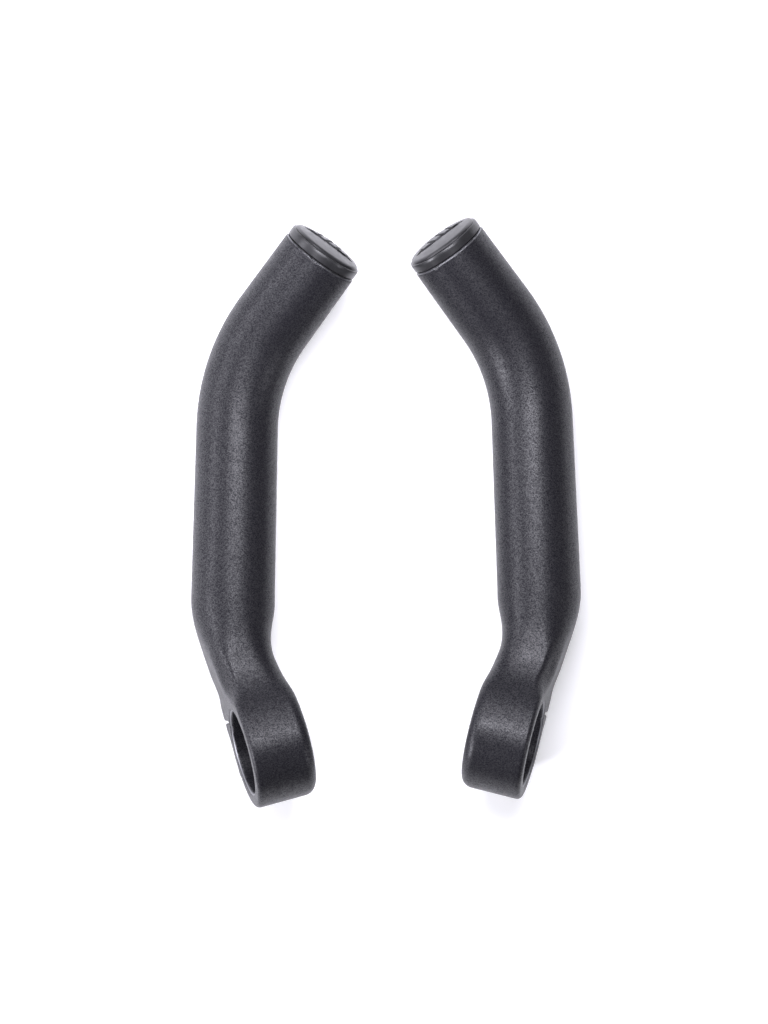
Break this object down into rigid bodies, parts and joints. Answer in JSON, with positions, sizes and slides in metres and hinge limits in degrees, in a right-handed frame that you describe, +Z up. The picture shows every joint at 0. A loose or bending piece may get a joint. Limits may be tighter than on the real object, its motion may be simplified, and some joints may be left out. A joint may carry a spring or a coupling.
{
  "type": "bar end grips",
  "caption": "Pair of short bent alloy bar ends with split clamp rings for the ends of a flat handlebar and domed plastic end caps.",
  "frame": {"origin": "on the table under the centre of the pair's box", "axes": "+Y along the bars from the clamps to the caps, +Z up from the table, +X from the left bar end to the right one"},
  "size_m": [0.104, 0.1558, 0.0374],
  "materials": {
    "forged_alloy": "bead blasted, black anodised",
    "cap_plastic": "fine matt moulding",
    "badge_gloss": "gloss black",
    "plated_steel": "zinc plated",
    "black_steel": "black oxide"
  },
  "bodies": {
    "left_bar": {"left_bar": "forged_alloy"},
    "left_cap": {"left_cap": "cap_plastic", "left_badge": "badge_gloss"},
    "left_washer": {"left_washer": "plated_steel"},
    "left_screw": {"left_screw": "black_steel"},
    "right_bar": {"right_bar": "forged_alloy"},
    "right_cap": {"right_cap": "cap_plastic", "right_badge": "badge_gloss"},
    "right_washer": {"right_washer": "plated_steel"},
    "right_screw": {"right_screw": "black_steel"}
  },
  "joints": [
    {"name": "left_cap_pull", "type": "slide", "parent": "left_bar", "child": "left_cap", "axis": [0.5848, 0.7779, 0.23], "range_m": [0, 0.016]},
    {"name": "left_washer_travel", "type": "slide", "parent": "left_bar", "child": "left_washer", "axis": [0.2385, -0.9711, 0], "range_m": [0, 0.012]},
    {"name": "left_screw_turn", "type": "hinge", "parent": "left_washer", "child": "left_screw", "pos_m": [-0.03236, -0.0671, 0.00575], "axis": [0.2385, -0.9711, 0], "range_deg": [0, 5401]},
    {"name": "right_cap_pull", "type": "slide", "parent": "right_bar", "child": "right_cap", "axis": [-0.5848, 0.7779, 0.23], "range_m": [0, 0.016]},
    {"name": "right_washer_travel", "type": "slide", "parent": "right_bar", "child": "right_washer", "axis": [-0.2385, -0.9711, 0], "range_m": [0, 0.012]},
    {"name": "right_screw_turn", "type": "hinge", "parent": "right_washer", "child": "right_screw", "pos_m": [0.03236, -0.0655, 0.00575], "axis": [-0.2385, -0.9711, 0], "range_deg": [0, 5401]},
    {"name": "pair_spread", "type": "slide", "parent": "left_bar", "child": "right_bar", "axis": [1, 0, 0], "range_m": [0, 0.1]}
  ],
  "couplings": [
    {"joint": "left_screw_turn", "follows": "left_washer_travel", "rad_per_m": 7854},
    {"joint": "right_screw_turn", "follows": "right_washer_travel", "rad_per_m": 7854}
  ]
}
